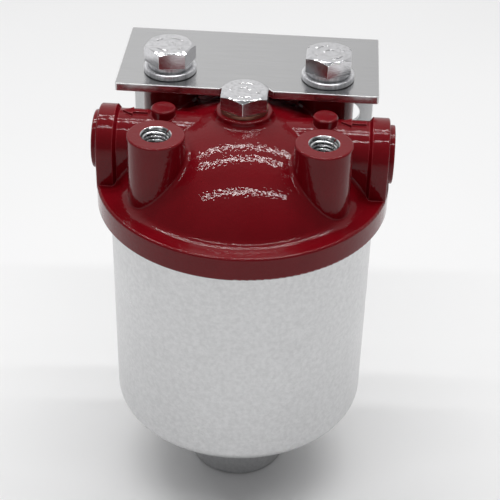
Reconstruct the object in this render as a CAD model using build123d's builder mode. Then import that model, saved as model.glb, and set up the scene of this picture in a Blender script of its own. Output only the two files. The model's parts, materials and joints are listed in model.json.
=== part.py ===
from build123d import *
from math import cos, radians, sqrt
import os

# Frame: the filter's axis is Z, the foot's underside is Z = 0, the inlet port points along +X
# and the wall side of the bracket is +Y. Everything is in millimetres.

# ---- head casting: outside ----
BOSS_TOP = 168.0
BOSS_R = 10.5
BOSS_X = 30.0
BOSS_Y = 21.7
BOSS_EDGE = 0.6
BOSS_ROOT = 138.6
BOSS_CREASE = 1.5
DOME_R = 57.0
DOME_CENTRE_Z = 109.2
DOME_FILLET = 5.0
CENTRE_BOSS_FILLET = 2.0
FLANGE_R = 55.4
FLANGE_TOP = 139.6
FLANGE_EDGE = 0.9
SKIRT_BOTTOM = 130.0
PORT_Z = 152.0
ARM_R = 12.0
ARM_END = 50.0
ARM_CREASE = 1.5
COLLAR_START = 46.2
COLLAR_END = 54.0
COLLAR_R = 13.5
COLLAR_CONE = 1.8
COLLAR_BOTTOM = 138.0
COLLAR_EDGE = 0.8
PORT_RING_R = 11.0
PORT_RING_EDGE = 0.5
PORT_FACE_X = 56.0
NUB_R = 4.6
NUB_TOP = 167.0
NUB_EDGE = 0.8

# ---- head casting: inside ----
SHELL_R = 52.0
GASKET_SEAT = 135.5
SKIRT_BORE_R = 50.9
HUB_R = 18.0
HUB_BORE_R = 13.5
HUB_RIM = 140.0
HUB_ROOF = 157.5
DUCT_R = 11.0
PORT_THREAD_R = 8.33
PORT_THREAD_L = 13.0
PORT_CHAMFER = 0.8
PORT_BORE_R = 7.4
INLET_BORE_END = 20.0
OUTLET_BORE_END = 8.0
TAPPED_R = 5.1
TAPPED_DEPTH = 15.0
TAPPED_CHAMFER = 0.6
CENTRE_HOLE_R = 5.3

# ---- flow arrows on the arms, pointing from inlet to outlet ----
ARROW_TOP = 164.9
ARROW_ROOT = 160.0
ARROW_CENTRES = (-40.5, 40.5)
ARROW_LENGTH = 9.4
ARROW_HEAD = 4.0
ARROW_WIDTH = 5.0
ARROW_SHAFT = 1.8

# ---- bowl ----
BOWL_R = 50.5
BOWL_WALL = 3.5
BOWL_RIM = 133.5
BOWL_CORNER = 4.5
BOWL_RIM_EDGE = 0.6
CONE_OUTER_Z = 39.2
CONE_FOOT_Z = 17.5
CONE_INNER_Z = 41.0
CONE_SUMP_Z = 19.3
FOOT_R = 19.9
FOOT_FILLET = 3.0
FOOT_EDGE = 0.8
SUMP_R = 16.4
SUMP_FLOOR = 16.0
BOWL_BOSS_R = 9.0
BOWL_BOSS_TOP = 35.5
BOLT_BORE_R = 5.08
CROSS_HOLE_R = 1.6
CROSS_HOLE_Z = 17.8
CROSS_HOLE_COUNT = 4

# ---- bolts and washers ----
M10_R = 5.0
HEX_FLATS = 17.0
HEX_TOP_R = 8.1
HEX_CHAMFER_H = 1.0
HEX_HEAD_H = 6.4
THREAD_END_CHAMFER = 0.8
SEAL_WASHER_R = 8.8
SEAL_WASHER_T = 1.5
WASHER_FACE_R = 8.2
WASHER_FACE_T = 0.5
CENTRE_BOLT_L = 150.0
CENTRE_HEX_TURN = 30.0
BRACKET_BOLT_L = 20.0
LEFT_HEX_TURN = 11.4
RIGHT_HEX_TURN = 29.0
FLAT_WASHER_R = 10.0
FLAT_WASHER_T = 2.5
FLAT_WASHER_EDGE = 0.4
SPRING_WASHER_R = 8.25
SPRING_WASHER_T = 2.0
SPRING_WASHER_GAP = 1.6
SPRING_WASHER_SLANT = 25.0
LEFT_GAP_TURN = 70.0
RIGHT_GAP_TURN = 115.0
WASHER_BORE_R = 5.25

# ---- bracket ----
BRACKET_W = 98.8
BRACKET_T = 3.0
BRACKET_FRONT = 8.8
BRACKET_WALL = 59.0
BRACKET_LEG = 60.0
BEND_INSIDE_R = 0.8
BRACKET_CORNER = 1.0
NOTCH_R = 13.35
BRACKET_HOLE_R = 5.5
WALL_HOLE_R = 5.25
WALL_HOLE_X = 39.0
WALL_HOLE_Z = 137.0

# ---- strainer element ----
GASKET_R_IN = 46.0
GASKET_R_OUT = 50.3
CAP_R = 33.0
CAP_T = 2.0
CAP_LIP = 5.0
CAP_LIP_T = 1.0
TOP_CAP_TOP = 138.0
TOP_CAP_BORE_R = 13.9
BOTTOM_CAP_BOTTOM = 40.0
BOTTOM_CAP_BORE_R = 9.6
SCREEN_R = 31.8
SCREEN_T = 0.8
SCREEN_HOLE_R = 2.5
SCREEN_HOLE_COLUMNS = 24
SCREEN_HOLE_ROWS = 11
SCREEN_HOLE_PITCH = 7.6
TOP_SEAL_R_OUT = 17.6

# ---- magnet core ----
CORE_BORE_R = 5.6
CORE_TUBE_R = 6.4
MAGNET_R = 12.0
MAGNET_H = 12.0
MAGNET_COUNT = 5
POLE_T = 2.5
MAGNET_CAP_T = 4.0
SHEATH_R = 12.8

# ---- spring ----
SPRING_R = 13.0
SPRING_WIRE_R = 1.1
SPRING_TURNS = 3.5
SPRING_END_GAP = 0.05
SPRING_SEAT_T = 1.2
SPRING_SEAT_R_IN = 10.2
SPRING_SEAT_R_OUT = 15.4

# ---- drain plug ----
PLUG_RECESS_R = 11.0
PLUG_RECESS_TOP = 6.5
PLUG_FLANGE_R = 9.5
PLUG_FLANGE_BOTTOM = 0.8
PLUG_FLANGE_EDGE = 0.5
PLUG_SEAL_T = 1.2
PLUG_SEAL_R_IN = 6.8
PLUG_SHANK_R = 6.58
PLUG_SHANK_TOP = 14.8
PLUG_BORE_R = 6.64
PLUG_BORE_TOP = 15.5
PLUG_SOCKET_FLATS = 8.0
PLUG_SOCKET_DEPTH = 6.0

os.makedirs("parts", exist_ok=True)


def save(builder, label):
    """Label a finished piece and write it as its own STEP file."""
    builder.part.label = label
    export_step(builder.part, f"parts/{label}.step")


def save_ring(label, r_in, r_out, z_low, z_high):
    """A plain flat ring about the filter's axis."""
    with BuildPart() as piece:
        with BuildSketch(Plane.XY.offset(z_low)):
            Circle(r_out)
            Circle(r_in, mode=Mode.SUBTRACT)
        extrude(amount=z_high - z_low)
    save(piece, label)


def port_profile(radius, low):
    """Outline of a port arm or collar: round on top, straight-sided below."""
    with Locations((0, PORT_Z)):
        Circle(radius)
    with Locations((0, (PORT_Z + low) / 2)):
        Rectangle(2 * radius, PORT_Z - low)


def save_hex_bolt(label, centre, seat_z, length, turn, face_t=0.0):
    """Hex bolt pointing down: head above seat_z, shank below it."""
    head_top = seat_z + face_t + HEX_HEAD_H
    if face_t:
        head_top = seat_z + face_t + HEX_HEAD_H - HEX_CHAMFER_H / 2
    corner_r = HEX_FLATS / 2 / cos(radians(30))
    with BuildPart() as piece:
        with BuildSketch(Plane.XY.offset(seat_z + face_t)):
            with Locations(centre):
                RegularPolygon(HEX_FLATS / 2, 6, major_radius=False, rotation=turn)
        extrude(amount=head_top - seat_z - face_t)
        with BuildSketch(Plane.XZ.offset(-centre[1])):
            with BuildLine():
                Polyline(
                    (centre[0], seat_z),
                    (centre[0] + corner_r, seat_z),
                    (centre[0] + corner_r, head_top - HEX_CHAMFER_H),
                    (centre[0] + HEX_TOP_R, head_top),
                    (centre[0], head_top),
                    close=True,
                )
            make_face()
        revolve(axis=Axis((centre[0], centre[1], 0), (0, 0, 1)), mode=Mode.INTERSECT)
        if face_t:
            with BuildSketch(Plane.XY.offset(seat_z)):
                with Locations(centre):
                    Circle(WASHER_FACE_R)
            extrude(amount=face_t)
        with BuildSketch(Plane.XY.offset(seat_z)):
            with Locations(centre):
                Circle(M10_R)
        extrude(amount=-length)
        chamfer(piece.faces().sort_by(Axis.Z)[0].edges(), THREAD_END_CHAMFER)
    save(piece, label)


# ---------------------------------------------------------------- filter head
with BuildPart() as collar:
    with BuildSketch(Plane.YZ.offset(COLLAR_START)):
        port_profile(COLLAR_R, COLLAR_BOTTOM)
    extrude(amount=COLLAR_END - COLLAR_START)
    inner_face = collar.faces().sort_by(Axis.X)[0]
    chamfer(
        inner_face.edges().sort_by(Axis.Z)[1:],
        COLLAR_R - ARM_R,
        COLLAR_CONE,
    )
    outer_face = collar.faces().sort_by(Axis.X)[-1]
    fillet(outer_face.edges().sort_by(Axis.Z)[1:], COLLAR_EDGE)
    with BuildSketch(Plane.YZ.offset(COLLAR_END)):
        with Locations((0, PORT_Z)):
            Circle(PORT_RING_R)
    extrude(amount=PORT_FACE_X - COLLAR_END)
    fillet(collar.faces().sort_by(Axis.X)[-1].edges(), PORT_RING_EDGE)

with BuildPart() as nub:
    with BuildSketch(Plane.XY.offset(PORT_Z)):
        with Locations((BOSS_X, 0)):
            Circle(NUB_R)
    extrude(amount=NUB_TOP - PORT_Z)
    fillet(nub.faces().sort_by(Axis.Z)[-1].edges(), NUB_EDGE)

# The space inside the head: an outer chamber fed by the inlet, and a hub in the middle that
# the outlet duct opens into.
with BuildPart() as cavity:
    with BuildSketch(Plane.XZ):
        mouth_r = sqrt(SHELL_R**2 - (GASKET_SEAT - DOME_CENTRE_Z) ** 2)
        shell_hub_z = DOME_CENTRE_Z + sqrt(SHELL_R**2 - HUB_R**2)
        shell_mid_r = (mouth_r + HUB_R) / 2
        shell_mid_z = DOME_CENTRE_Z + sqrt(SHELL_R**2 - shell_mid_r**2)
        with BuildLine():
            Polyline((0, GASKET_SEAT), (mouth_r, GASKET_SEAT))
            ThreePointArc(
                (mouth_r, GASKET_SEAT),
                (shell_mid_r, shell_mid_z),
                (HUB_R, shell_hub_z),
            )
            Polyline(
                (HUB_R, shell_hub_z),
                (HUB_R, HUB_RIM),
                (HUB_BORE_R, HUB_RIM),
                (HUB_BORE_R, HUB_ROOF),
                (0, HUB_ROOF),
                (0, GASKET_SEAT),
            )
        make_face()
    revolve(axis=Axis.Z)
    with BuildSketch(Plane.YZ.offset(-HUB_BORE_R)):
        with Locations((0, PORT_Z)):
            Circle(DUCT_R)
    extrude(amount=HUB_BORE_R - COLLAR_START, mode=Mode.SUBTRACT)

# Flange, dome and centre boss as one turned body.
with BuildPart() as dome:
    with BuildSketch(Plane.XZ) as dome_profile:
        dome_foot_r = sqrt(DOME_R**2 - (FLANGE_TOP - DOME_CENTRE_Z) ** 2)
        dome_mid_r = dome_foot_r / 2
        dome_mid_z = DOME_CENTRE_Z + sqrt(DOME_R**2 - dome_mid_r**2)
        dome_boss_z = DOME_CENTRE_Z + sqrt(DOME_R**2 - BOSS_R**2)
        with BuildLine():
            Polyline(
                (BOSS_R, dome_boss_z),
                (BOSS_R, BOSS_TOP),
                (0, BOSS_TOP),
                (0, SKIRT_BOTTOM),
                (FLANGE_R, SKIRT_BOTTOM),
                (FLANGE_R, FLANGE_TOP),
                (dome_foot_r, FLANGE_TOP),
            )
            ThreePointArc(
                (dome_foot_r, FLANGE_TOP),
                (dome_mid_r, dome_mid_z),
                (BOSS_R, dome_boss_z),
            )
        make_face()
        fillet(dome_profile.vertices().sort_by(Axis.Y)[-3], CENTRE_BOSS_FILLET)
        fillet(dome_profile.vertices().sort_by(Axis.X)[-3], DOME_FILLET)
        fillet(dome_profile.vertices().sort_by(Axis.X)[-2:], FLANGE_EDGE)
    revolve(axis=Axis.Z)

# The dome with its four bosses and, apart from it, the dome with its port arms: each set of
# creases is blended before the two are joined.
with BuildPart() as bossed_dome:
    add(dome.part)
    with BuildSketch(Plane.XY.offset(BOSS_TOP)):
        with GridLocations(2 * BOSS_X, 2 * BOSS_Y, 2, 2):
            Circle(BOSS_R)
    extrude(amount=BOSS_ROOT - BOSS_TOP)
    fillet(bossed_dome.edges().filter_by(GeomType.BSPLINE), BOSS_CREASE)

with BuildPart() as armed_dome:
    add(dome.part)
    with BuildSketch(Plane.YZ.offset(-ARM_END)):
        port_profile(ARM_R, BOSS_ROOT)
    extrude(amount=2 * ARM_END)
    arm_creases = armed_dome.edges().filter_by(GeomType.BSPLINE)
    fillet(arm_creases.filter_by(lambda e: abs(e.center().X) < COLLAR_START), ARM_CREASE)

with BuildPart() as head:
    add(bossed_dome.part)
    add(armed_dome.part)
    add(collar.part)
    add(mirror(collar.part, about=Plane.YZ, mode=Mode.PRIVATE))
    add(nub.part)
    add(mirror(nub.part, about=Plane.YZ, mode=Mode.PRIVATE))
    fillet(head.edges().group_by(Axis.Z)[-1], BOSS_EDGE)

    # raised flow arrows
    with BuildSketch(Plane.XY.offset(ARROW_ROOT)):
        for centre_x in ARROW_CENTRES:
            tip = centre_x - ARROW_LENGTH / 2
            tail = centre_x + ARROW_LENGTH / 2
            with BuildLine():
                Polyline(
                    (tip, 0),
                    (tip + ARROW_HEAD, ARROW_WIDTH / 2),
                    (tip + ARROW_HEAD, ARROW_SHAFT / 2),
                    (tail, ARROW_SHAFT / 2),
                    (tail, -ARROW_SHAFT / 2),
                    (tip + ARROW_HEAD, -ARROW_SHAFT / 2),
                    (tip + ARROW_HEAD, -ARROW_WIDTH / 2),
                    close=True,
                )
            make_face()
    extrude(amount=ARROW_TOP - ARROW_ROOT)

    # chambers, the recess for the bowl, and the ports
    add(cavity.part, mode=Mode.SUBTRACT)
    with BuildSketch(Plane.XY.offset(SKIRT_BOTTOM)):
        Circle(SKIRT_BORE_R)
    extrude(amount=GASKET_SEAT - SKIRT_BOTTOM, mode=Mode.SUBTRACT)
    for side, bore_end in ((1, INLET_BORE_END), (-1, OUTLET_BORE_END)):
        with BuildSketch(Plane.YZ.offset(side * PORT_FACE_X)):
            with Locations((0, PORT_Z)):
                Circle(PORT_BORE_R)
        extrude(amount=side * (bore_end - PORT_FACE_X), mode=Mode.SUBTRACT)
        with BuildSketch(Plane.YZ.offset(side * PORT_FACE_X)):
            with Locations((0, PORT_Z)):
                Circle(PORT_THREAD_R)
        extrude(amount=-side * PORT_THREAD_L, mode=Mode.SUBTRACT)
    port_mouths = (
        head.edges()
        .filter_by(GeomType.CIRCLE)
        .filter_by(lambda e: abs(abs(e.center().X) - PORT_FACE_X) < PORT_CHAMFER / 2)
        .filter_by(lambda e: e.radius < PORT_THREAD_R + PORT_CHAMFER / 2)
    )
    chamfer(port_mouths, PORT_CHAMFER)

    # tapped holes and the centre bolt's hole
    with Locations(Plane.XY.offset(BOSS_TOP)):
        with GridLocations(2 * BOSS_X, 2 * BOSS_Y, 2, 2):
            Hole(TAPPED_R, depth=TAPPED_DEPTH)
        Hole(CENTRE_HOLE_R, depth=BOSS_TOP - HUB_ROOF + 1)
    hole_mouths = (
        head.edges()
        .filter_by(GeomType.CIRCLE)
        .group_by(Axis.Z)[-1]
        .filter_by(lambda e: e.radius < CENTRE_HOLE_R + TAPPED_CHAMFER)
    )
    chamfer(hole_mouths, TAPPED_CHAMFER)
save(head, "filter_head")


# ---------------------------------------------------------------- bowl
with BuildPart() as bowl:
    with BuildSketch(Plane.XZ) as bowl_outside:
        with BuildLine():
            Polyline(
                (0, 0),
                (FOOT_R, 0),
                (FOOT_R, CONE_FOOT_Z),
                (BOWL_R, CONE_OUTER_Z),
                (BOWL_R, BOWL_RIM),
                (0, BOWL_RIM),
                close=True,
            )
        make_face()
        fillet(bowl_outside.vertices().group_by(Axis.Y)[2], BOWL_CORNER)
        fillet(bowl_outside.vertices().group_by(Axis.Y)[1], FOOT_FILLET)
    revolve(axis=Axis.Z)
    with BuildSketch(Plane.XZ) as bowl_inside:
        with BuildLine():
            Polyline(
                (BOWL_BOSS_R, SUMP_FLOOR),
                (SUMP_R, SUMP_FLOOR),
                (SUMP_R, CONE_SUMP_Z),
                (BOWL_R - BOWL_WALL, CONE_INNER_Z),
                (BOWL_R - BOWL_WALL, BOWL_RIM),
                (0, BOWL_RIM),
                (0, BOWL_BOSS_TOP),
                (BOWL_BOSS_R, BOWL_BOSS_TOP),
                close=True,
            )
        make_face()
    revolve(axis=Axis.Z, mode=Mode.SUBTRACT)
    # the centre bolt's tapped bore, and the drain plug's seat and bore below it
    with Locations(Plane.XY.offset(BOWL_BOSS_TOP)):
        Hole(BOLT_BORE_R, depth=BOWL_BOSS_TOP - PLUG_BORE_TOP)
    with BuildSketch(Plane.XY):
        Circle(PLUG_RECESS_R)
    extrude(amount=PLUG_RECESS_TOP, mode=Mode.SUBTRACT)
    with BuildSketch(Plane.XY.offset(PLUG_RECESS_TOP)):
        Circle(PLUG_BORE_R)
    extrude(amount=PLUG_BORE_TOP - PLUG_RECESS_TOP, mode=Mode.SUBTRACT)
    # cross holes that let the sump drain into the bore under the bolt's end
    for turn in range(CROSS_HOLE_COUNT // 2):
        along = Plane.XZ.rotated((0, 0, 360 * turn / CROSS_HOLE_COUNT))
        with BuildSketch(along):
            with Locations((0, CROSS_HOLE_Z)):
                Circle(CROSS_HOLE_R)
        extrude(amount=SUMP_R - 1, both=True, mode=Mode.SUBTRACT)
    foot_edges = bowl.edges().filter_by(GeomType.CIRCLE).group_by(Axis.Z)
    chamfer(foot_edges[0], FOOT_EDGE)
    chamfer(foot_edges[-1], BOWL_RIM_EDGE)
save(bowl, "bowl")

save_ring("bowl_gasket", GASKET_R_IN, GASKET_R_OUT, BOWL_RIM, GASKET_SEAT)


# ---------------------------------------------------------------- centre bolt
washer_top = BOSS_TOP + SEAL_WASHER_T
save_ring("centre_bolt_washer", CENTRE_HOLE_R, SEAL_WASHER_R, BOSS_TOP, washer_top)
save_hex_bolt(
    "centre_bolt", (0, 0), washer_top, CENTRE_BOLT_L, CENTRE_HEX_TURN, WASHER_FACE_T
)


# ---------------------------------------------------------------- bracket
bracket_top = BOSS_TOP + BRACKET_T
with BuildPart() as bracket:
    with BuildSketch(Plane.YZ.offset(-BRACKET_W / 2)) as bracket_profile:
        with BuildLine():
            Polyline(
                (BRACKET_FRONT, BOSS_TOP),
                (BRACKET_WALL - BRACKET_T, BOSS_TOP),
                (BRACKET_WALL - BRACKET_T, bracket_top - BRACKET_LEG),
                (BRACKET_WALL, bracket_top - BRACKET_LEG),
                (BRACKET_WALL, bracket_top),
                (BRACKET_FRONT, bracket_top),
                close=True,
            )
        make_face()
        inside_corner = (BRACKET_WALL - BRACKET_T, BOSS_TOP)
        bend_inside = bracket_profile.vertices().sort_by_distance(inside_corner)[0]
        fillet(bend_inside, BEND_INSIDE_R)
        outside_corner = (BRACKET_WALL, bracket_top)
        bend_outside = bracket_profile.vertices().sort_by_distance(outside_corner)[0]
        fillet(bend_outside, BEND_INSIDE_R + BRACKET_T)
    extrude(amount=BRACKET_W)
    front_corners = bracket.edges().filter_by(Axis.Z).group_by(Axis.Y)[0]
    fillet(front_corners, BRACKET_CORNER)
    with Locations(Plane.XY.offset(bracket_top)):
        Hole(NOTCH_R, depth=BRACKET_T)
        with Locations((-BOSS_X, BOSS_Y), (BOSS_X, BOSS_Y)):
            Hole(BRACKET_HOLE_R, depth=BRACKET_T)
    with BuildSketch(Plane.XZ.offset(-BRACKET_WALL)):
        with Locations((-WALL_HOLE_X, WALL_HOLE_Z), (WALL_HOLE_X, WALL_HOLE_Z)):
            Circle(WALL_HOLE_R)
    extrude(amount=BRACKET_T, mode=Mode.SUBTRACT)
save(bracket, "bracket")


# ---------------------------------------------------------------- bracket fasteners
flat_top = bracket_top + FLAT_WASHER_T
spring_top = flat_top + SPRING_WASHER_T
for name, side, hex_turn, gap_turn in (
    ("left", -1, LEFT_HEX_TURN, LEFT_GAP_TURN),
    ("right", 1, RIGHT_HEX_TURN, RIGHT_GAP_TURN),
):
    centre = (side * BOSS_X, BOSS_Y)
    with BuildPart() as flat_washer:
        with BuildSketch(Plane.XY.offset(bracket_top)):
            with Locations(centre):
                Circle(FLAT_WASHER_R)
                Circle(WASHER_BORE_R, mode=Mode.SUBTRACT)
        extrude(amount=FLAT_WASHER_T)
        rims = flat_washer.edges().filter_by(GeomType.CIRCLE)
        chamfer(rims.filter_by(lambda e: e.radius > M10_R * 1.5), FLAT_WASHER_EDGE)
    save(flat_washer, f"flat_washer_{name}")

    with BuildPart() as spring_washer:
        with BuildSketch(Plane.XY.offset(flat_top)):
            with Locations(centre):
                Circle(SPRING_WASHER_R)
                Circle(WASHER_BORE_R, mode=Mode.SUBTRACT)
        extrude(amount=SPRING_WASHER_T)
        gap_frame = Plane((centre[0], centre[1], flat_top + SPRING_WASHER_T / 2))
        slot = gap_frame.rotated((0, 0, gap_turn)).rotated((SPRING_WASHER_SLANT, 0, 0))
        with BuildSketch(slot.offset(-SPRING_WASHER_R)):
            with Locations((SPRING_WASHER_R, 0)):
                Rectangle(2 * SPRING_WASHER_R, SPRING_WASHER_GAP)
        extrude(amount=2 * SPRING_WASHER_R, mode=Mode.SUBTRACT)
    save(spring_washer, f"spring_washer_{name}")

    save_hex_bolt(f"bracket_bolt_{name}", centre, spring_top, BRACKET_BOLT_L, hex_turn)


# ---------------------------------------------------------------- strainer element
with BuildPart() as top_cap:
    with BuildSketch(Plane.XY.offset(TOP_CAP_TOP - CAP_T)):
        Circle(CAP_R)
        Circle(TOP_CAP_BORE_R, mode=Mode.SUBTRACT)
    extrude(amount=CAP_T)
    with BuildSketch(Plane.XY.offset(TOP_CAP_TOP - CAP_T)):
        Circle(CAP_R)
        Circle(CAP_R - CAP_LIP_T, mode=Mode.SUBTRACT)
    extrude(amount=CAP_T - CAP_LIP)
    fillet(top_cap.edges().group_by(Axis.Z)[-1].sort_by(SortBy.RADIUS)[-1], CAP_LIP_T)
save(top_cap, "element_top_cap")

screen_low = BOTTOM_CAP_BOTTOM + CAP_T
screen_high = TOP_CAP_TOP - CAP_T
screen_mid = (screen_low + screen_high) / 2
with BuildPart() as screen:
    with BuildSketch(Plane.XY.offset(screen_low)):
        Circle(SCREEN_R)
        Circle(SCREEN_R - SCREEN_T, mode=Mode.SUBTRACT)
    extrude(amount=screen_high - screen_low)
    # each drill passes right through and makes two opposite holes
    for column in range(SCREEN_HOLE_COLUMNS // 2):
        with BuildSketch(Plane.XZ.rotated((0, 0, 360 * column / SCREEN_HOLE_COLUMNS))):
            with Locations((0, screen_mid)):
                with GridLocations(1, SCREEN_HOLE_PITCH, 1, SCREEN_HOLE_ROWS):
                    Circle(SCREEN_HOLE_R)
        extrude(amount=SCREEN_R + 1, both=True, mode=Mode.SUBTRACT)
save(screen, "strainer_screen")

with BuildPart() as bottom_cap:
    with BuildSketch(Plane.XY.offset(BOTTOM_CAP_BOTTOM)):
        Circle(CAP_R)
        Circle(BOTTOM_CAP_BORE_R, mode=Mode.SUBTRACT)
    extrude(amount=CAP_T)
    with BuildSketch(Plane.XY.offset(BOTTOM_CAP_BOTTOM)):
        Circle(CAP_R)
        Circle(CAP_R - CAP_LIP_T, mode=Mode.SUBTRACT)
    extrude(amount=CAP_LIP)
    fillet(bottom_cap.edges().group_by(Axis.Z)[0].sort_by(SortBy.RADIUS)[-1], CAP_LIP_T)
save(bottom_cap, "element_bottom_cap")

save_ring("element_top_seal", TOP_CAP_BORE_R, TOP_SEAL_R_OUT, TOP_CAP_TOP, HUB_RIM)
save_ring(
    "element_bottom_seal",
    CENTRE_HOLE_R,
    BOTTOM_CAP_BORE_R,
    BOTTOM_CAP_BOTTOM,
    BOTTOM_CAP_BOTTOM + CAP_T,
)


# ---------------------------------------------------------------- magnet core
stack_low = screen_low + MAGNET_CAP_T
stack_high = stack_low + MAGNET_COUNT * (MAGNET_H + POLE_T) + POLE_T
core_top = stack_high + MAGNET_CAP_T
save_ring("magnet_core_tube", CORE_BORE_R, CORE_TUBE_R, screen_low, core_top)
save_ring("magnet_cap_bottom", CORE_TUBE_R, SHEATH_R, screen_low, stack_low)
save_ring("magnet_cap_top", CORE_TUBE_R, SHEATH_R, stack_high, core_top)
save_ring("magnet_sheath", MAGNET_R, SHEATH_R, stack_low, stack_high)

with BuildPart() as magnets:
    for level in range(MAGNET_COUNT):
        magnet_low = stack_low + POLE_T + level * (MAGNET_H + POLE_T)
        with BuildSketch(Plane.XY.offset(magnet_low)):
            Circle(MAGNET_R)
            Circle(CORE_TUBE_R, mode=Mode.SUBTRACT)
        extrude(amount=MAGNET_H)
save(magnets, "ring_magnets")

with BuildPart() as poles:
    for level in range(MAGNET_COUNT + 1):
        with BuildSketch(Plane.XY.offset(stack_low + level * (MAGNET_H + POLE_T))):
            Circle(MAGNET_R)
            Circle(CORE_TUBE_R, mode=Mode.SUBTRACT)
        extrude(amount=POLE_T)
save(poles, "pole_plates")


# ---------------------------------------------------------------- spring under the element
seat_low = BOTTOM_CAP_BOTTOM - SPRING_SEAT_T
save_ring("spring_seat", SPRING_SEAT_R_IN, SPRING_SEAT_R_OUT, seat_low, BOTTOM_CAP_BOTTOM)

coil_low = SUMP_FLOOR + SPRING_WIRE_R + SPRING_END_GAP
coil_high = seat_low - SPRING_WIRE_R - SPRING_END_GAP
with BuildPart() as spring:
    with BuildLine() as coil:
        Helix(
            pitch=(coil_high - coil_low) / SPRING_TURNS,
            height=coil_high - coil_low,
            radius=SPRING_R,
            center=(0, 0, coil_low),
        )
    with BuildSketch(Plane(origin=coil.line @ 0, z_dir=coil.line % 0)):
        Circle(SPRING_WIRE_R)
    sweep(is_frenet=True)
save(spring, "element_spring")


# ---------------------------------------------------------------- drain plug
flange_top = PLUG_RECESS_TOP - PLUG_SEAL_T
with BuildPart() as plug:
    with BuildSketch(Plane.XY.offset(PLUG_FLANGE_BOTTOM)):
        Circle(PLUG_FLANGE_R)
    extrude(amount=flange_top - PLUG_FLANGE_BOTTOM)
    chamfer(plug.edges().group_by(Axis.Z)[0], PLUG_FLANGE_EDGE)
    with BuildSketch(Plane.XY.offset(flange_top)):
        Circle(PLUG_SHANK_R)
    extrude(amount=PLUG_SHANK_TOP - flange_top)
    chamfer(plug.edges().group_by(Axis.Z)[-1], THREAD_END_CHAMFER)
    with BuildSketch(Plane.XY.offset(PLUG_FLANGE_BOTTOM)):
        RegularPolygon(PLUG_SOCKET_FLATS / 2, 6, major_radius=False)
    extrude(amount=PLUG_SOCKET_DEPTH, mode=Mode.SUBTRACT)
save(plug, "drain_plug")
save_ring("drain_plug_seal", PLUG_SEAL_R_IN, PLUG_FLANGE_R, flange_top, PLUG_RECESS_TOP)
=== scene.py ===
"""Looks of the magnetic system filter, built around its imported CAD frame.

Everything is in metres in the part's own frame: the axis is Z, the foot stands on Z = 0, the inlet
is on +X and the bracket's wall side is +Y.
"""
import json
import math

import bmesh
import bpy
from mathutils import Matrix, Vector


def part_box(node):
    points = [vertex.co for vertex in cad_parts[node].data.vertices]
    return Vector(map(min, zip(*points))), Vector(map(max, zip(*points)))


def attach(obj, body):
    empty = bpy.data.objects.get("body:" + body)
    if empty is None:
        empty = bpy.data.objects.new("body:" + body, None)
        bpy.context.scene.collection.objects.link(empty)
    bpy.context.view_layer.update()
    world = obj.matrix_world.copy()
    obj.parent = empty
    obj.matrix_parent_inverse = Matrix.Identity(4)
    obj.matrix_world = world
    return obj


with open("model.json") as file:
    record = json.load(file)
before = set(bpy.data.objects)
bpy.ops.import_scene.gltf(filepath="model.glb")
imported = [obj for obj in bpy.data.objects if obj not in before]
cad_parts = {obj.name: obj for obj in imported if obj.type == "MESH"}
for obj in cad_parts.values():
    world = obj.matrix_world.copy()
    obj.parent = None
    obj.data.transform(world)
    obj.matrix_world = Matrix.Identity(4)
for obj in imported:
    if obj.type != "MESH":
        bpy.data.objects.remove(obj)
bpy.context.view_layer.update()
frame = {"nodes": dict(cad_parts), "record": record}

MM = 0.001
X, Z = 0, 2  # numbers of the axes
head_low, head_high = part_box("filter_head")
mounts = {mount["name"]: mount for mount in frame["record"]["mounts"]}


# ------------------------------------------------------------------ node helpers
BEVEL_SAMPLES = 6
SHADE_SAMPLES = 8
MOST = (0.3, 0.7)  # where most of a noise's values lie


class Nodes:
    """The node tree of a material or world under construction."""

    def __init__(self, owner):
        owner.use_nodes = True
        self.tree = owner.node_tree
        self.tree.nodes.clear()

    def node(self, kind, **inputs):
        """A new node, with the values of its inputs by name, _ standing for a space."""
        made = self.tree.nodes.new("ShaderNode" + kind)
        for name, value in inputs.items():
            made.inputs[name.replace("_", " ")].default_value = value
        return made

    def join(self, output, socket):
        self.tree.links.new(output, socket)

    def spread(self, socket, span, onto):
        """The values of one span, stretched onto another and cut off at its ends."""
        node = self.node(
            "MapRange", From_Min=span[0], From_Max=span[1], To_Min=onto[0], To_Max=onto[1]
        )
        self.join(socket, node.inputs["Value"])
        return node.outputs["Result"]

    def colours(self, socket, low, high):
        """A ramp between two stops, each a place on the ramp and its colour."""
        node = self.node("ValToRGB")
        for element, (place, colour) in zip(node.color_ramp.elements, (low, high)):
            element.position = place
            element.color = (*colour, 1.0)
        self.join(socket, node.inputs["Fac"])
        return node.outputs["Color"]


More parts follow.
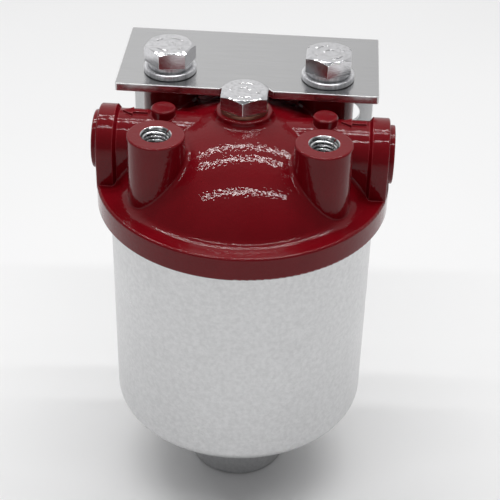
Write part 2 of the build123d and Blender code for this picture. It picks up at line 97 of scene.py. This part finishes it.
class Shader(Nodes):
    """A material with one Principled shader.

    Its textures use object coordinates, so a scale is the number of grains in a metre.
    """

    def __init__(self, name):
        self.material = bpy.data.materials.new(name)
        super().__init__(self.material)
        self.surface = self.node("BsdfPrincipled")
        output = self.node("OutputMaterial")
        self.join(self.surface.outputs["BSDF"], output.inputs["Surface"])
        self.coords = self.node("TexCoord").outputs["Object"]

    def set(self, **values):
        for name, value in values.items():
            self.surface.inputs[name.replace("_", " ")].default_value = value

    def link(self, name, socket):
        self.join(socket, self.surface.inputs[name])

    def stretched(self, x, y, z):
        """Coordinates with a scale of their own along each axis, for streaks."""
        node = self.node("Mapping", Scale=(x, y, z))
        self.join(self.coords, node.inputs["Vector"])
        return node.outputs["Vector"]

    def noise(self, scale, detail=3.0, roughness=0.5, coords=None):
        node = self.node("TexNoise", Scale=scale, Detail=detail, Roughness=roughness)
        self.join(coords or self.coords, node.inputs["Vector"])
        return node.outputs["Fac"]

    def streaks(self, x, y, z, detail=3.0, roughness=0.6):
        """Noise with a scale of its own along each axis."""
        return self.noise(1.0, detail, roughness, self.stretched(x, y, z))

    def cells(self, scale):
        node = self.node("TexVoronoi", Scale=scale)
        node.feature = "SMOOTH_F1"
        self.join(self.coords, node.inputs["Vector"])
        return node.outputs["Distance"]

    def add(self, a, b, share=1.0):
        """a plus a share of b."""
        node = self.node("Math")
        node.operation = "MULTIPLY_ADD"
        self.join(b, node.inputs[0])
        node.inputs[1].default_value = share
        self.join(a, node.inputs[2])
        return node.outputs["Value"]

    def times(self, a, b):
        node = self.node("Math")
        node.operation = "MULTIPLY"
        self.join(a, node.inputs[0])
        self.join(b, node.inputs[1])
        return node.outputs["Value"]

    def by_slope(self, upright, level, steep=0.5, flat=0.95):
        """One value on upright faces and another where the surface faces up."""
        split = self.node("SeparateXYZ")
        self.join(self.node("NewGeometry").outputs["True Normal"], split.inputs["Vector"])
        return self.spread(split.outputs["Z"], (steep, flat), (upright, level))

    def rounded(self, radius):
        """The surface's normal, as if its edges had this radius."""
        node = self.node("Bevel", Radius=radius)
        node.samples = BEVEL_SAMPLES
        return node.outputs["Normal"]

    def edge_highlight_mask(self, radius, gain):
        """Zero on flat faces, rising to one along an edge of this radius, sooner at a high gain; the
        mask for painted edge highlights.
        """
        facing = self.node("VectorMath")
        facing.operation = "DOT_PRODUCT"
        self.join(self.rounded(radius), facing.inputs[0])
        self.join(self.node("NewGeometry").outputs["Normal"], facing.inputs[1])
        return self.spread(facing.outputs["Value"], (1.0, 1.0 - 1.0 / gain), (0.0, 1.0))

    def edged(self, colour, mask, edge_colour):
        """The colour, turning to the edge colour where the mask is one."""
        node = self.node("Mix")
        node.data_type = "RGBA"
        self.join(mask, node.inputs["Factor"])
        plain, edge = [socket for socket in node.inputs if socket.type == "RGBA"]
        self.join(colour, plain)
        edge.default_value = (*edge_colour, 1.0)
        return next(socket for socket in node.outputs if socket.type == "RGBA")

    def shaded(self, colour, distance):
        """The colour darkened where another surface closes in: painted shade."""
        node = self.node("AmbientOcclusion", Distance=distance)
        node.samples = SHADE_SAMPLES
        self.join(colour, node.inputs["Color"])
        return node.outputs["Color"]

    def bump(self, height, distance, under=None):
        """The normal of a relief this deep, over the normal given as under."""
        node = self.node("Bump", Distance=distance)
        self.join(height, node.inputs["Height"])
        if under is not None:
            self.join(under, node.inputs["Normal"])
        return node.outputs["Normal"]


def grey(value):
    return (value, value, value)


# ------------------------------------------------------------------ materials
def crimson_paint():
    """Glossy enamel on a casting: a clear coat with orange peel, and edges painted a lighter red as
    a painted highlight.
    """
    deep = (0.134, 0.0013, 0.0042)
    light = (0.161, 0.0020, 0.0060)
    edge_highlight_red = (0.40, 0.05, 0.06)
    edge = 0.5 * MM
    peel_depth = 0.058 * MM
    m = Shader("crimson_paint")
    m.set(Metallic=0.0, Specular_IOR_Level=0.03)
    m.set(Coat_Weight=1.0, Coat_Roughness=0.01, Coat_IOR=1.30)
    patches = m.noise(60.0, detail=4.0, roughness=0.6)
    paint = m.colours(patches, (0.30, deep), (0.70, light))
    # painted highlight: the edges turn a lighter red
    m.link("Base Color", m.edged(paint, m.edge_highlight_mask(edge, gain=8.0), edge_highlight_red))
    m.link("Roughness", m.spread(m.noise(900.0, detail=2.0), MOST, (0.30, 0.42)))
    fine_peel = m.noise(820.0, detail=1.5, roughness=0.45)
    peel = m.add(fine_peel, m.noise(300.0, detail=1.0), share=0.4)
    normal = m.bump(peel, peel_depth, m.rounded(edge))
    m.link("Normal", normal)
    m.link("Coat Normal", normal)
    return m.material


def bowl_aluminium():
    """Fine-grained matt metal with faint level lines from turning."""
    dark = (0.563, 0.565, 0.57)
    pale = (0.648, 0.650, 0.655)
    m = Shader("bowl_aluminium")
    m.set(Metallic=1.0)
    cloud = m.noise(45.0, detail=4.0, roughness=0.6)
    grain = m.noise(560.0, detail=4.0, roughness=0.7)
    lines = m.streaks(18.0, 18.0, 5200.0, roughness=0.7)
    m.link("Base Color", m.colours(grain, (0.36, dark), (0.64, pale)))
    m.link("Roughness", m.spread(m.add(cloud, lines, share=0.6), (0.5, 1.1), (0.26, 0.36)))
    m.link("Normal", m.bump(lines, 0.016 * MM, m.rounded(0.4 * MM)))
    return m.material


def brushed_steel(name, shade, along, roughness, edge=0.3 * MM):
    """Steel brushed along one axis: long faint streaks, and edges painted near white as a painted
    highlight.
    """
    dark = tuple(0.93 * c for c in shade)
    scales = [2600.0, 2600.0, 2600.0]
    scales[along] = 60.0
    m = Shader(name)
    m.set(Metallic=1.0)
    fine = m.streaks(*scales, detail=4.0, roughness=0.7)
    broad = m.noise(26.0)
    plain = m.colours(m.add(fine, broad, share=0.25), (0.45, dark), (0.8, shade))
    highlit_edges = m.edge_highlight_mask(edge, gain=12.0)
    rubbed = m.spread(fine, (0.25, 0.75), (roughness, roughness + 0.12))
    # painted highlight: the edges turn near white
    m.link("Base Color", m.edged(plain, highlit_edges, grey(0.97)))
    m.link("Roughness", m.add(rubbed, highlit_edges, share=0.2))
    m.link("Normal", m.bump(fine, 0.01 * MM, m.rounded(edge)))
    return m.material


def bright_zinc():
    """Zinc over forged steel: mottled, pitted tops, drawn lines around the sides, and edges painted
    near white as a painted highlight.
    """
    shade = (0.735, 0.732, 0.75)
    dull = tuple(0.84 * c for c in shade)
    edge = 0.22 * MM
    pit_depth = 0.06 * MM
    line_depth = 0.03 * MM
    m = Shader("bright_zinc")
    m.set(Metallic=1.0)
    blotches = m.noise(700.0, detail=4.0, roughness=0.6)
    mottle = m.add(blotches, m.noise(1600.0, detail=2.0), share=0.35)
    highlit_edges = m.edge_highlight_mask(edge, gain=10.0)
    plain = m.colours(mottle, (0.52, dull), (0.74, shade))
    # painted highlight: the edges turn near white
    m.link("Base Color", m.edged(plain, highlit_edges, grey(0.98)))
    rubbed = m.add(m.spread(mottle, (0.5, 0.8), (0.12, 0.06)), highlit_edges, share=0.15)
    m.link("Roughness", m.add(rubbed, m.by_slope(upright=0.1, level=0.0)))
    pits = m.add(m.cells(620.0), m.noise(1500.0, detail=2.0), share=0.4)
    drawn = m.streaks(160.0, 160.0, 3400.0)
    on_top = m.times(pits, m.by_slope(upright=0.1, level=1.0, steep=0.88, flat=0.98))
    on_sides = m.times(drawn, m.by_slope(upright=1.0, level=0.05, steep=0.2, flat=0.6))
    shaped = m.bump(on_top, pit_depth, m.rounded(edge))
    m.link("Normal", m.bump(on_sides, line_depth, shaped))
    return m.material


def washer_zinc():
    """Zinc on a stamped ring: upright streaks around the rim, edges painted near white as a painted
    highlight, and a painted shadow line where it seats.
    """
    dull = (0.60, 0.60, 0.62)
    bright = (0.88, 0.88, 0.90)
    edge = 0.16 * MM
    seat_shade = 1.1 * MM
    m = Shader("washer_zinc")
    m.set(Metallic=1.0)
    streaks = m.streaks(1300.0, 1300.0, 60.0)
    plain = m.colours(streaks, (0.35, dull), (0.62, bright))
    # painted highlight: the edges turn near white
    ring = m.edged(plain, m.edge_highlight_mask(edge, gain=8.0), grey(0.98))
    # painted shade: darker where other surfaces close in, as at the plate under the washer
    m.link("Base Color", m.shaded(ring, seat_shade))
    m.link("Roughness", m.spread(streaks, MOST, (0.32, 0.42)))
    m.link("Normal", m.bump(streaks, 0.03 * MM, m.rounded(edge)))
    return m.material


def dull_copper():
    stained = (0.26, 0.13, 0.09)
    clean = (0.44, 0.24, 0.17)
    m = Shader("dull_copper")
    m.set(Metallic=1.0)
    stain = m.noise(420.0, detail=4.0, roughness=0.65)
    m.link("Base Color", m.colours(stain, (0.35, stained), (0.7, clean)))
    m.link("Roughness", m.spread(stain, MOST, (0.34, 0.5)))
    m.link("Normal", m.bump(m.noise(1400.0), 0.02 * MM, m.rounded(0.2 * MM)))
    return m.material


def turned_brass():
    shadow = (0.62, 0.45, 0.20)
    shine = (0.78, 0.60, 0.30)
    m = Shader("turned_brass")
    m.set(Metallic=1.0)
    rings = m.streaks(1500.0, 1500.0, 60.0)
    m.link("Base Color", m.colours(rings, (0.3, shadow), (0.7, shine)))
    m.link("Roughness", m.spread(rings, MOST, (0.2, 0.34)))
    m.link("Normal", m.bump(rings, 0.01 * MM, m.rounded(0.3 * MM)))
    return m.material


def grainy(m, grain, dark, pale, gloss, relief):
    """Lets a fine grain vary a material's colour, its roughness and its surface."""
    m.link("Base Color", m.colours(grain, (MOST[0], dark), (MOST[1], pale)))
    m.link("Roughness", m.spread(grain, MOST, gloss))
    m.link("Normal", m.bump(grain, relief))
    return m.material


def black_rubber():
    m = Shader("black_rubber")
    grain = m.noise(2600.0, detail=3.0, roughness=0.6)
    return grainy(m, grain, grey(0.012), grey(0.026), (0.55, 0.75), 0.02 * MM)


def moulded_black():
    m = Shader("moulded_black")
    grain = m.noise(1800.0, detail=2.0)
    return grainy(m, grain, grey(0.03), grey(0.045), (0.25, 0.38), 0.01 * MM)


def sintered_magnet():
    m = Shader("sintered_magnet")
    m.set(Metallic=0.6)
    grain = m.noise(3200.0, detail=4.0, roughness=0.7)
    return grainy(m, grain, grey(0.05), (0.12, 0.12, 0.125), (0.45, 0.7), 0.02 * MM)


def cut_metal():
    """Bare metal left by a thread tap: painted shade darkening the thread's roots, bright crests,
    and dark smears.
    """
    root_shade_and_smear = (0.05, 0.05, 0.052)
    bright = (0.84, 0.84, 0.85)
    m = Shader("cut_metal")
    m.set(Metallic=1.0)
    smear = m.streaks(420.0, 420.0, 2600.0, detail=4.0, roughness=0.65)
    crest = m.node("Attribute")
    crest.attribute_name = "crest"
    height = m.add(crest.outputs["Fac"], smear, share=0.5)
    # painted shade: darker towards the thread's roots by the crest attribute; the smear streaks add
    # real dark smears
    m.link("Base Color", m.colours(height, (0.30, root_shade_and_smear), (0.95, bright)))
    m.link("Roughness", m.spread(smear, MOST, (0.16, 0.3)))
    m.link("Normal", m.bump(smear, 0.01 * MM))
    return m.material


looks = {
    "crimson_paint": crimson_paint(),
    "bowl_metal": bowl_aluminium(),
    "bracket_steel": brushed_steel("bracket_stainless", (0.56, 0.56, 0.565), X, 0.15, 0.6 * MM),
    "zinc_steel": bright_zinc(),
    "washer_steel": washer_zinc(),
    "copper": dull_copper(),
    "black_rubber": black_rubber(),
    "pressed_steel": brushed_steel("pressed_stainless", (0.58, 0.585, 0.59), Z, 0.22),
    "screen_steel": brushed_steel("screen_stainless", (0.62, 0.62, 0.625), Z, 0.24),
    "magnet_cap": moulded_black(),
    "magnet": sintered_magnet(),
    "pole_steel": brushed_steel("pole_steel", (0.42, 0.425, 0.43), Z, 0.3),
    "spring_steel": brushed_steel("spring_wire", (0.50, 0.50, 0.51), Z, 0.25),
    "brass_plug": turned_brass(),
}
for part in frame["record"]["subparts"]:
    for slot in frame["nodes"][part["node"]].material_slots:
        slot.material = looks[part["material_slot"]]
thread_metal = cut_metal()


# ------------------------------------------------------------------ pieces
def mesh_piece(name, vertices, faces, material, body, smooth):
    """A new piece that rides on a body, with its faces turned outwards."""
    mesh = bpy.data.meshes.new(name)
    mesh.from_pydata(vertices, [], faces)
    mesh.update()
    work = bmesh.new()
    work.from_mesh(mesh)
    bmesh.ops.recalc_face_normals(work, faces=work.faces)
    work.to_mesh(mesh)
    work.free()
    mesh.materials.append(material)
    for polygon in mesh.polygons:
        polygon.use_smooth = smooth
    piece = bpy.data.objects.new(name, mesh)
    bpy.context.scene.collection.objects.link(piece)
    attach(piece, body)
    return piece


AROUND = 72  # points around one turn of a thread
PER_PITCH = 12  # rows of points in one pitch
RIDGE_PEAK, RIDGE_SLOPE = 1.7, 4.2  # flat crest a third of the pitch wide, with straight flanks
BOTTOM_DIP = 0.2 * MM
M10_HOLE = {
    "crest_r": 4.25 * MM,
    "root_r": 5.06 * MM,
    "pitch": 1.5 * MM,
    "depth": 14.6 * MM,
    "chamfer": 0.6 * MM,
    "closed": True,
}
PORT_HOLE = {
    "crest_r": 7.52 * MM,
    "root_r": 8.29 * MM,
    "pitch": 1.337 * MM,
    "depth": 12.8 * MM,
    "chamfer": 0.8 * MM,
    "closed": False,
}


def tapped_thread(name, mount, crest_r, root_r, pitch, depth, chamfer, closed):
    """The bare metal of a tapped hole: chamfered mouth, helical ridge and, if closed, its bottom."""
    axis = Vector(mount["axis"]).normalized()
    side = axis.orthogonal().normalized()
    other = axis.cross(side)
    outermost = head_high if max(axis) > 0.5 else head_low
    mouth = Vector(mount["pos_m"])
    mouth += axis * (outermost - mouth).dot(axis)

    def outward(turn):
        angle = 2 * math.pi * turn
        return side * math.cos(angle) + other * math.sin(angle)

    rows = int((depth / pitch + 1) * PER_PITCH) + 1
    vertices = []
    for row in range(rows):
        for step in range(AROUND):
            turn = step / AROUND
            below = min(max(pitch * (row / PER_PITCH - turn), 0.0), depth)
            phase = (below / pitch + turn) % 1.0
            ridge = min(1.0, max(0.0, RIDGE_PEAK - RIDGE_SLOPE * abs(phase - 0.5)))
            radius = root_r - (root_r - crest_r) * ridge
            radius = max(radius, root_r + chamfer - below)
            vertices.append(mouth + outward(turn) * radius - axis * below)
    faces = []
    for row in range(rows - 1):
        for step in range(AROUND):
            # The seam strip joins rows a pitch on, not a pitch back as it should, so it is skewed.
            drop = PER_PITCH if step + 1 == AROUND else 0
            if row + 1 + drop >= rows:
                continue
            here = row * AROUND + step
            beside = (row + drop) * AROUND + (step + 1) % AROUND
            faces.append((here, beside, beside + AROUND, here + AROUND))
    if closed:
        centre = len(vertices)
        vertices.append(mouth - axis * (depth + BOTTOM_DIP))
        ring = len(vertices)
        for step in range(AROUND):
            vertices.append(mouth + outward(step / AROUND) * root_r - axis * depth)
            faces.append((centre, ring + step, ring + (step + 1) % AROUND))

    thread = mesh_piece(name, vertices, faces, thread_metal, "head_body", True)
    # crest is zero at the thread's roots and one on its crests; cut_metal paints shade by it, darker
    # at the roots
    crest = thread.data.attributes.new("crest", "FLOAT", "POINT")
    for vertex, item in zip(thread.data.vertices, crest.data):
        offset = vertex.co - mouth
        radius = (offset - axis * offset.dot(axis)).length
        item.value = min(1.0, abs(root_r - radius) / (root_r - crest_r))


for side in ("left", "right"):
    tapped_thread(f"tapped_thread_{side}", mounts[f"front_{side}_tapped_hole"], **M10_HOLE)
for port in ("inlet", "outlet"):
    tapped_thread(f"{port}_thread", mounts[f"{port}_port"], **PORT_HOLE)


ARC_STEPS = 14
ARC_SLOPE = 0.22  # share of an arc's width taken by each sloping side
OUTER_ARCS = ((20, 58), (118, 26), (200, 58), (298, 26))  # start and sweep in degrees
OUTER_ARC = {"radius": 5.3 * MM, "width": 1.3 * MM, "height": 0.22 * MM}
INNER_ARC = {"radius": 1.9 * MM, "width": 0.9 * MM, "height": 0.2 * MM}
INNER_START, INNER_SWEEP = -40, 150


def raised_arc(vertices, faces, centre, start, sweep, radius, width, height):
    """Adds one low raised arc with sloping sides and ends, on a level face."""
    slope = ARC_SLOPE * width
    for step in range(ARC_STEPS + 1):
        angle = math.radians(start + sweep * (step / ARC_STEPS))
        out = Vector((math.cos(angle), math.sin(angle), 0))
        top = 0.0 if step in (0, ARC_STEPS) else height
        for offset, lift in (
            (-width / 2, 0.0),
            (-width / 2 + slope, top),
            (width / 2 - slope, top),
            (width / 2, 0.0),
        ):
            vertices.append(centre + out * (radius + offset) + Vector((0, 0, lift)))
    first = len(vertices) - 4 * (ARC_STEPS + 1)
    for a in range(first, len(vertices) - 4, 4):
        b = a + 4
        for k in range(3):
            faces.append((a + k, a + k + 1, b + k + 1, b + k))
        faces.append((a, b, b + 3, a + 3))


def head_marks(name, node, turn, body):
    """Plain raised arcs on the top of a bolt head, with no lettering."""
    low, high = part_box(node)
    centre = Vector(((low.x + high.x) / 2, (low.y + high.y) / 2, high.z))
    vertices = []
    faces = []
    for start, sweep in OUTER_ARCS:
        raised_arc(vertices, faces, centre, start + turn, sweep, **OUTER_ARC)
    raised_arc(vertices, faces, centre, INNER_START + turn, INNER_SWEEP, **INNER_ARC)
    mesh_piece(name, vertices, faces, looks["zinc_steel"], body, False)


head_marks("left_head_marks", "bracket_bolt_left", 12.0, "head_body")
head_marks("right_head_marks", "bracket_bolt_right", 75.0, "head_body")
head_marks("centre_head_marks", "centre_bolt", 40.0, "bolt_body")


# ------------------------------------------------------------------ stage
FLOOR_HALF = 4.0
RIGHT_SHARE = 0.78  # brightness of the world's +X side beside its -X side

STRIP_DISTANCE = 1.2
STRIP_LENGTH = 1.44
STRIP_WIDTH = 0.03
STRIP_POWER = 5.5
STRIP_SKEW = 6.0  # degrees about the part's axis
STRIP_LEANS = (20.0, 8.3, -20.0)  # degrees from straight above, towards the wall side
STRIP_AIM = Vector((0, 0, 0.15))

CAMERA_FROM = Vector((0.0280, -0.4275, 0.4102))
CAMERA_AIM = Vector((0.0034, 0.0, 0.1044))
CAMERA_ROLL = 1.462  # degrees
CAMERA_LENS = 95.76  # millimetres
CAMERA_SENSOR = 36.0  # millimetres
CAMERA_CLIP = 10 * MM


def floor():
    """A plain pale floor under the foot."""
    m = Shader("pale_floor")
    m.set(Roughness=0.75, Specular_IOR_Level=0.2)
    m.link("Base Color", m.colours(m.noise(3.0), (0.3, grey(0.83)), (0.7, grey(0.86))))
    half = FLOOR_HALF
    corners = [(-half, -half, 0), (half, -half, 0), (half, half, 0), (-half, half, 0)]
    mesh = bpy.data.meshes.new("floor")
    mesh.from_pydata(corners, [], [(0, 1, 2, 3)])
    mesh.materials.append(m.material)
    obj = bpy.data.objects.new("floor", mesh)
    bpy.context.scene.collection.objects.link(obj)


def studio_world():
    """Dim in front of the part and bright behind it, and a little dimmer on its +X side."""
    dim = (0.19, 0.19, 0.195)
    bright = grey(0.85)
    world = bpy.data.worlds.new("studio")
    w = Nodes(world)
    split = w.node("SeparateXYZ")
    w.join(w.node("TexCoord").outputs["Generated"], split.inputs["Vector"])
    depth = w.spread(split.outputs["Y"], (-1.0, 1.0), (0.0, 1.0))
    tone = w.colours(depth, (0.50, dim), (0.80, bright))
    across = w.spread(split.outputs["X"], (-0.06, 0.12), (1.0, RIGHT_SHARE))
    scaled = w.node("VectorMath")
    scaled.operation = "SCALE"
    w.join(tone, scaled.inputs[0])
    w.join(across, scaled.inputs["Scale"])
    background = w.node("Background", Strength=1.0)
    w.join(scaled.outputs["Vector"], background.inputs["Color"])
    output = w.node("OutputWorld")
    w.join(background.outputs["Background"], output.inputs["Surface"])
    bpy.context.scene.world = world


def strip_lamps():
    """Three long narrow lamps above the part, which draw the bright bands on the dome."""
    skew = Matrix.Rotation(math.radians(STRIP_SKEW), 4, "Z")
    for number, degrees in enumerate(STRIP_LEANS):
        light = bpy.data.lights.new(f"strip_{number}", "AREA")
        light.shape = "RECTANGLE"
        light.size = STRIP_LENGTH
        light.size_y = STRIP_WIDTH
        light.energy = STRIP_POWER
        lean = math.radians(degrees)
        above = STRIP_DISTANCE * Vector((0, math.sin(lean), math.cos(lean)))
        tip = Matrix.Rotation(-lean, 4, "X")
        lamp = bpy.data.objects.new(f"strip_{number}", light)
        lamp.matrix_world = Matrix.Translation(STRIP_AIM) @ skew @ Matrix.Translation(above) @ tip
        bpy.context.scene.collection.objects.link(lamp)


def main_camera():
    """The camera, a little right of the part's middle and looking down at it from the front."""
    data = bpy.data.cameras.new("camera")
    data.lens = CAMERA_LENS
    data.sensor_width = CAMERA_SENSOR
    data.clip_start = CAMERA_CLIP
    turn = (CAMERA_AIM - CAMERA_FROM).to_track_quat("-Z", "Y").to_matrix()
    roll = Matrix.Rotation(math.radians(CAMERA_ROLL), 3, "Z")
    camera = bpy.data.objects.new("camera", data)
    camera.matrix_world = Matrix.Translation(CAMERA_FROM) @ (turn @ roll).to_4x4()
    bpy.context.scene.collection.objects.link(camera)
    bpy.context.scene.camera = camera


floor()
studio_world()
strip_lamps()
main_camera()
bpy.context.scene.view_settings.view_transform = "Standard"
